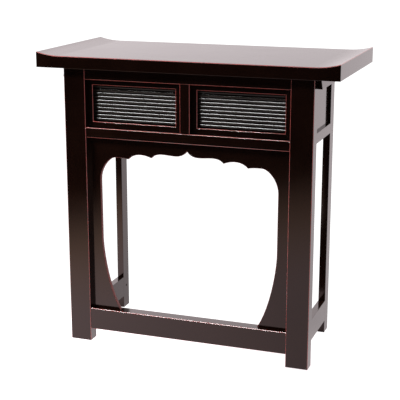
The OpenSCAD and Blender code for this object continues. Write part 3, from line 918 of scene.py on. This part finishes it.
class DowelsAndPegs(bpy.types.Operator):
    """Make the dowels that locate the top, and give the pegs their dark end grain"""

    bl_idname = "incense_table.dowels_and_pegs"
    bl_label = "Dowels and pegs"

    segments = 32
    # How far a dowel's ends are rounded, as a share of its radius
    end_share = 0.25
    # Faces whose normal leans further than this towards an end are flat
    flat_from = 0.99

    def execute(self, context):
        bm = bmesh.new()
        for low, high in solids_of("top_dowels"):
            radius = (high.x - low.x) / 2
            bmesh.ops.create_cone(bm, cap_ends=True, segments=self.segments, radius1=radius,
                                  radius2=radius, depth=high.z - low.z,
                                  matrix=Matrix.Translation((low + high) / 2))
            for z in (low.z, high.z):
                ring = [e for e in edges_on(bm, z=z) if e.calc_face_angle() > SHARP
                        and low.x - TOUCH < e.verts[0].co.x < high.x + TOUCH]
                round_off(bm, ring, radius * self.end_share)
        for face in bm.faces:
            face.smooth = abs(face.normal.z) < self.flat_from
        place_piece(bm, "top_dowels_turned", "top_dowels", [bare_wood()])
        for side in SIDES:
            dress(side + "_stretcher_peg", peg_end())
        return {"FINISHED"}


class Stage(bpy.types.Operator):
    """Lay the floor, light the table and set the camera"""

    bl_idname = "incense_table.stage"
    bl_label = "Floor, light and camera"

    floor_thickness = 0.02
    # Directions on the floor: from the front left to the rear right, across the lines in which
    # the table's fronts mirror it, and to the rear
    away = (1, 1, 0)
    across = (1, -0.42, 0)
    rearward = (0, 1, 0)
    # Where the floor's painted glow, its painted tint and its thickness change, in metres along
    # those
    glow_span = (-0.27, 0.38)
    tint_span = (-1.6, -0.7)
    thin_span = (-2.6, -0.4)
    behind_span = (-0.2, 0.15)
    # The floor's darker fibres, as a share of its colour
    fibre_share = 0.98
    # In millimetres
    sensor_width = 36

    def measured(self, finish, direction):
        """How far along a direction each point lies."""
        node = finish.add("ShaderNodeVectorMath", Vector=finish.place)
        node.operation = "DOT_PRODUCT"
        node.inputs[1].default_value = direction
        return node.outputs["Value"]

    def floor_paper(self, settings):
        """Pale paper with light under it, brighter at the left and warmer at the front left, that
        thins out there and behind the table."""
        finish = Finish("floor_paper")
        pale = tint("floor")
        away = self.measured(finish, self.away)
        finish.shade(
            Base_Color=finish.blend(finish.noise(60, detail=3), pale,
                                    tuple(self.fibre_share * c for c in pale)),
            Roughness=0.9,
            Specular_IOR_Level=0.1,
            # Painted glow: light that the floor itself gives off, brighter at the left and warmer
            # at the front left
            Emission_Color=finish.blend(finish.ranged(away, *self.tint_span, 1, 0),
                                        tuple(settings.floor_tint), tuple(settings.floor_tint_far)),
            Emission_Strength=finish.ranged(self.measured(finish, self.across), *self.glow_span,
                                            *settings.floor_glow))
        # Painted fall-off: the floor fades to transparent towards the front left and behind the
        # table, so what the fronts mirror darkens there
        thick = finish.ranged(away, *self.thin_span, 0, 1)
        thick.node.interpolation_type = "SMOOTHSTEP"
        whole = finish.nodes.new("ShaderNodeMath")
        whole.operation = "MULTIPLY"
        finish.put(whole.inputs[0], thick)
        finish.put(whole.inputs[1], finish.ranged(self.measured(finish, self.rearward),
                                                  *self.behind_span, 1, 0))
        faded = finish.nodes.new("ShaderNodeMixShader")
        finish.put(faded.inputs["Fac"], whole.outputs["Value"])
        finish.put(faded.inputs[1], finish.add("ShaderNodeBsdfTransparent").outputs["BSDF"])
        finish.put(faded.inputs[2], finish.shader.outputs["BSDF"])
        finish.put(finish.nodes["Material Output"].inputs["Surface"], faded.outputs["Shader"])
        return finish.material

    def floor(self, settings):
        """A plain square floor under the table."""
        reach = settings.floor_reach
        bm = bmesh.new()
        block(bm, (-reach, -reach, -self.floor_thickness), (reach, reach, 0))
        mesh = bpy.data.meshes.new("floor")
        bm.to_mesh(mesh)
        bm.free()
        mesh.materials.append(self.floor_paper(settings))
        floor = bpy.data.objects.new("floor", mesh)
        bpy.context.scene.collection.objects.link(floor)

    def surround(self, settings):
        """A surround that is white behind the table and dark in front of it, and plain white for
        the camera."""
        world = bpy.data.worlds.new("surround")
        bpy.context.scene.world = world
        world.use_nodes = True
        nodes, links = world.node_tree.nodes, world.node_tree.links
        lit = nodes["Background"]
        lit.inputs["Color"].default_value = (*settings.surround_tint, 1)
        towards = nodes.new("ShaderNodeSeparateXYZ")
        links.new(nodes.new("ShaderNodeTexCoord").outputs["Generated"], towards.inputs["Vector"])
        middle = settings.surround_middle
        # Factors of the brightness: the part of the direction that each changes with, where on it
        # the change starts and ends, and the values there
        factors = (("Y", -0.75, -0.05, settings.surround_front, settings.surround),
                   ("Z", 0.13, 0.33, 1, settings.surround_high),
                   ("Z", -0.36, -0.22, settings.surround_low, 1),
                   ("X", -0.5, -0.2, 1, middle),
                   ("X", -0.1, 0.05, 1, 1 / middle))
        strength = lit.inputs["Strength"]
        for axis, *values in factors:
            factor = nodes.new("ShaderNodeMapRange")
            factor.interpolation_type = "SMOOTHSTEP"
            links.new(towards.outputs[axis], factor.inputs["Value"])
            for socket, value in zip(("From Min", "From Max", "To Min", "To Max"), values):
                factor.inputs[socket].default_value = value
            product = nodes.new("ShaderNodeMath")
            product.operation = "MULTIPLY"
            links.new(factor.outputs["Result"], product.inputs[0])
            links.new(product.outputs["Value"], strength)
            strength = product.inputs[1]
        strength.default_value = 1
        plain = nodes.new("ShaderNodeBackground")
        plain.inputs["Color"].default_value = (1, 1, 1, 1)
        plain.inputs["Strength"].default_value = settings.background
        seen = nodes.new("ShaderNodeMixShader")
        links.new(nodes.new("ShaderNodeLightPath").outputs["Is Camera Ray"], seen.inputs["Fac"])
        links.new(lit.outputs["Background"], seen.inputs[1])
        links.new(plain.outputs["Background"], seen.inputs[2])
        links.new(seen.outputs["Shader"], nodes["World Output"].inputs["Surface"])

    def softbox(self, name, power, size, place):
        """A rectangular light overhead that shines straight down."""
        light = bpy.data.lights.new(name, "AREA")
        light.shape = "RECTANGLE"
        light.size, light.size_y = size
        light.energy = power
        box = bpy.data.objects.new(name, light)
        box.location = place
        bpy.context.scene.collection.objects.link(box)
        return box

    def camera(self, settings):
        """The camera, in front of the table and to its right, looking a little down."""
        data = bpy.data.cameras.new("camera")
        data.sensor_width = self.sensor_width
        data.lens = settings.camera_lens
        camera = bpy.data.objects.new("camera", data)
        camera.location = settings.camera_place
        camera.rotation_euler = (math.pi / 2 - settings.camera_tilt, 0, settings.camera_turn)
        bpy.context.scene.collection.objects.link(camera)
        bpy.context.scene.camera = camera

    def execute(self, context):
        settings = context.scene.stage_settings
        self.floor(settings)
        self.surround(settings)
        glints = self.softbox("glints", settings.glints, settings.glints_size,
                              settings.glints_place)
        glints.visible_diffuse = False
        fill = self.softbox("fill", settings.fill, settings.fill_size, settings.fill_place)
        fill.visible_glossy = False
        self.camera(settings)
        context.scene.view_settings.view_transform = "Standard"
        return {"FINISHED"}


PIECES = (FrontLegs, FrontRails, PanelFrames, Reeds, CuspedBoards, SideFrames, TopBoard, Battens,
          Hinges, Screws, DowelsAndPegs, Stage)


class IncenseTablePanel(bpy.types.Panel):
    """Lists the pieces of the table and what a user may change"""

    bl_idname = "VIEW3D_PT_incense_table"
    bl_label = "Incense Table"
    bl_space_type = "VIEW_3D"
    bl_region_type = "UI"
    bl_category = "Incense Table"

    def draw(self, context):
        scene = context.scene
        for settings in (scene.table_sizes, scene.table_colours, scene.stage_settings):
            box = self.layout.box()
            for name in settings.__annotations__:
                box.prop(settings, name)
        column = self.layout.column()
        for piece in PIECES:
            column.operator(piece.bl_idname)


SETTINGS = {
    "table_sizes": TableSizes,
    "table_colours": TableColours,
    "stage_settings": StageSettings,
}


def register():
    """Adds the settings, the operators and the panel to Blender."""
    for name, group in SETTINGS.items():
        bpy.utils.register_class(group)
        setattr(bpy.types.Scene, name, bpy.props.PointerProperty(type=group))
    for piece in (*PIECES, IncenseTablePanel):
        bpy.utils.register_class(piece)


def unregister():
    """Takes them out again."""
    for piece in reversed((*PIECES, IncenseTablePanel)):
        bpy.utils.unregister_class(piece)
    for name, group in SETTINGS.items():
        delattr(bpy.types.Scene, name)
        bpy.utils.unregister_class(group)


def main():
    """Makes every piece, and writes down how large the CAD and the visual model are."""
    register()
    for piece in PIECES:
        group, call = piece.bl_idname.split(".")
        getattr(getattr(bpy.ops, group), call)()


if __name__ == "__main__":
    main()
